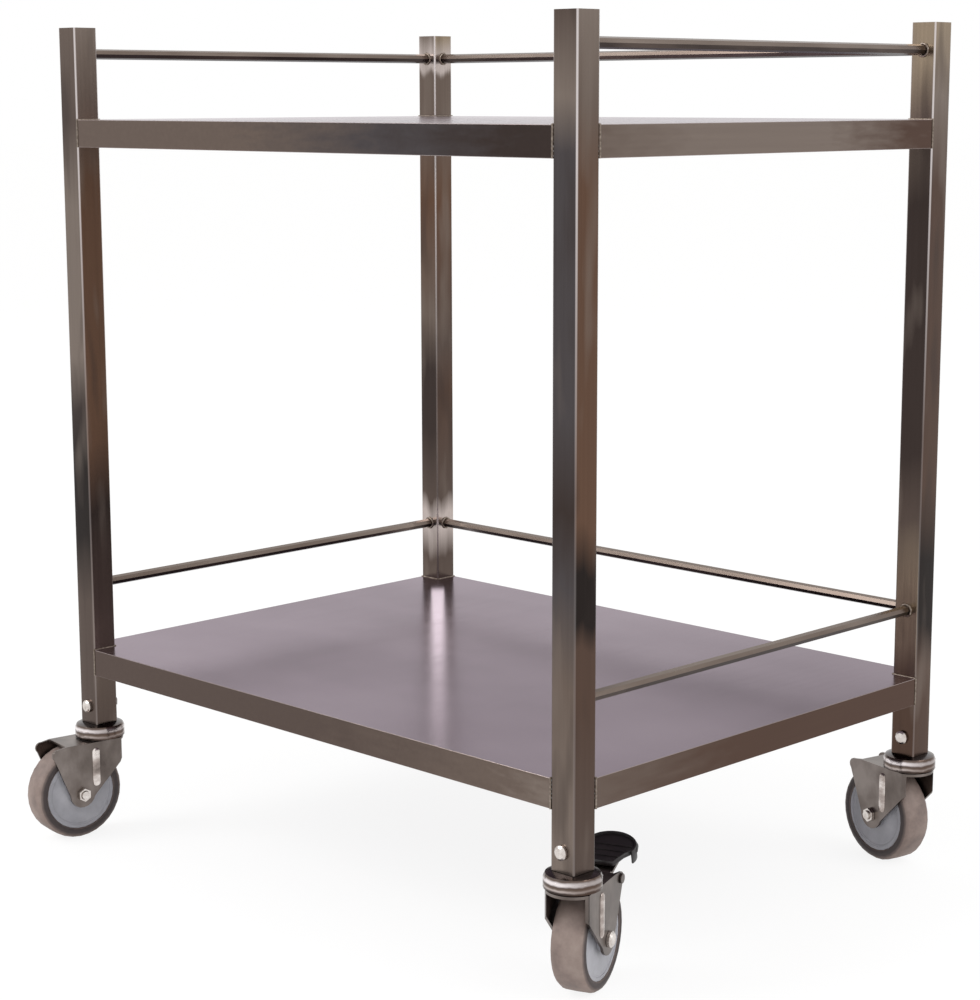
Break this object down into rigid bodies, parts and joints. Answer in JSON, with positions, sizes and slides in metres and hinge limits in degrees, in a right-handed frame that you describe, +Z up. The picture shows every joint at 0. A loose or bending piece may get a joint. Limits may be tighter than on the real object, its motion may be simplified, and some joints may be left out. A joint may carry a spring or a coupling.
{
  "type": "instrument trolley",
  "caption": "Stainless instrument trolley: square-tube posts, two folded trays, round guard rods on three sides and swivel castors, two with brake pedals.",
  "frame": {"origin": "on the floor under the middle of the frame", "axes": "+X along the trays to the right as seen from the open front, +Y to the back, +Z up"},
  "size_m": [0.6868, 0.619, 0.7793],
  "materials": {
    "frame_steel": "satin polished stainless tube with long reflections",
    "tray_steel": null,
    "plated_steel": "bright zinc or nickel plated pressing",
    "tread": "grey-beige non-marking rubber with a darker side",
    "hub_plastic": "pale blue-grey moulded plastic",
    "pedal_plastic": "black moulded plastic"
  },
  "bodies": {
    "frame": {"post_front_left": "frame_steel", "post_cap_front_left": "frame_steel", "castor_stem_front_left": "plated_steel", "stem_bolt_front_left": "plated_steel", "stem_nut_front_left": "plated_steel", "post_front_right": "frame_steel", "post_cap_front_right": "frame_steel", "castor_stem_front_right": "plated_steel", "stem_bolt_front_right": "plated_steel", "stem_nut_front_right": "plated_steel", "post_back_left": "frame_steel", "post_cap_back_left": "frame_steel", "castor_stem_back_left": "plated_steel", "stem_bolt_back_left": "plated_steel", "stem_nut_back_left": "plated_steel", "post_back_right": "frame_steel", "post_cap_back_right": "frame_steel", "castor_stem_back_right": "plated_steel", "stem_bolt_back_right": "plated_steel", "stem_nut_back_right": "plated_steel", "tray_lower": "tray_steel", "tray_upper": "tray_steel", "tray_channel_lower": "frame_steel", "tray_channel_upper": "frame_steel", "guard_rod_lower_left": "frame_steel", "guard_rod_lower_right": "frame_steel", "guard_rod_lower_back": "frame_steel", "guard_rod_upper_left": "frame_steel", "guard_rod_upper_right": "frame_steel", "guard_rod_upper_back": "frame_steel"},
    "swivel_front_left": {"fork_front_left": "plated_steel", "ball_race_front_left": "plated_steel", "axle_bolt_front_left": "plated_steel", "axle_nut_front_left": "plated_steel"},
    "wheel_front_left": {"tyre_front_left": "tread", "hub_front_left": "hub_plastic"},
    "swivel_front_right": {"fork_front_right": "plated_steel", "ball_race_front_right": "plated_steel", "axle_bolt_front_right": "plated_steel", "axle_nut_front_right": "plated_steel", "brake_pin_front_right": "plated_steel"},
    "wheel_front_right": {"tyre_front_right": "tread", "hub_front_right": "hub_plastic"},
    "brake_front_right": {"brake_lever_front_right": "plated_steel", "brake_pedal_front_right": "pedal_plastic"},
    "swivel_back_left": {"fork_back_left": "plated_steel", "ball_race_back_left": "plated_steel", "axle_bolt_back_left": "plated_steel", "axle_nut_back_left": "plated_steel", "brake_pin_back_left": "plated_steel"},
    "wheel_back_left": {"tyre_back_left": "tread", "hub_back_left": "hub_plastic"},
    "brake_back_left": {"brake_lever_back_left": "plated_steel", "brake_pedal_back_left": "pedal_plastic"},
    "swivel_back_right": {"fork_back_right": "plated_steel", "ball_race_back_right": "plated_steel", "axle_bolt_back_right": "plated_steel", "axle_nut_back_right": "plated_steel"},
    "wheel_back_right": {"tyre_back_right": "tread", "hub_back_right": "hub_plastic"}
  },
  "joints": [
    {"name": "swivel_turn_front_left", "type": "hinge", "parent": "frame", "child": "swivel_front_left", "pos_m": [-0.3173, -0.2323, 0.1], "axis": [0, 0, 1], "continuous": true},
    {"name": "wheel_spin_front_left", "type": "hinge", "parent": "swivel_front_left", "child": "wheel_front_left", "pos_m": [-0.32148, -0.26201, 0.045], "axis": [0.9903, -0.1392, 0], "continuous": true},
    {"name": "swivel_turn_front_right", "type": "hinge", "parent": "frame", "child": "swivel_front_right", "pos_m": [0.3173, -0.2323, 0.1], "axis": [0, 0, 1], "continuous": true},
    {"name": "wheel_spin_front_right", "type": "hinge", "parent": "swivel_front_right", "child": "wheel_front_right", "pos_m": [0.30704, -0.20411, 0.045], "axis": [-0.9397, -0.342, 0], "continuous": true},
    {"name": "brake_press_front_right", "type": "hinge", "parent": "swivel_front_right", "child": "brake_front_right", "pos_m": [0.2982, -0.17981, 0.08803], "axis": [-0.9397, -0.342, 0], "range_deg": [0, 18]},
    {"name": "swivel_turn_back_left", "type": "hinge", "parent": "frame", "child": "swivel_back_left", "pos_m": [-0.3173, 0.2323, 0.1], "axis": [0, 0, 1], "continuous": true},
    {"name": "wheel_spin_back_left", "type": "hinge", "parent": "swivel_back_left", "child": "wheel_back_left", "pos_m": [-0.29609, 0.25351, 0.045], "axis": [-0.7071, 0.7071, 0], "continuous": true},
    {"name": "brake_press_back_left", "type": "hinge", "parent": "swivel_back_left", "child": "brake_back_left", "pos_m": [-0.27781, 0.2718, 0.08803], "axis": [-0.7071, 0.7071, 0], "range_deg": [0, 18]},
    {"name": "swivel_turn_back_right", "type": "hinge", "parent": "frame", "child": "swivel_back_right", "pos_m": [0.3173, 0.2323, 0.1], "axis": [0, 0, 1], "continuous": true},
    {"name": "wheel_spin_back_right", "type": "hinge", "parent": "swivel_back_right", "child": "wheel_back_right", "pos_m": [0.28807, 0.23905, 0.045], "axis": [-0.225, -0.9744, 0], "continuous": true}
  ]
}
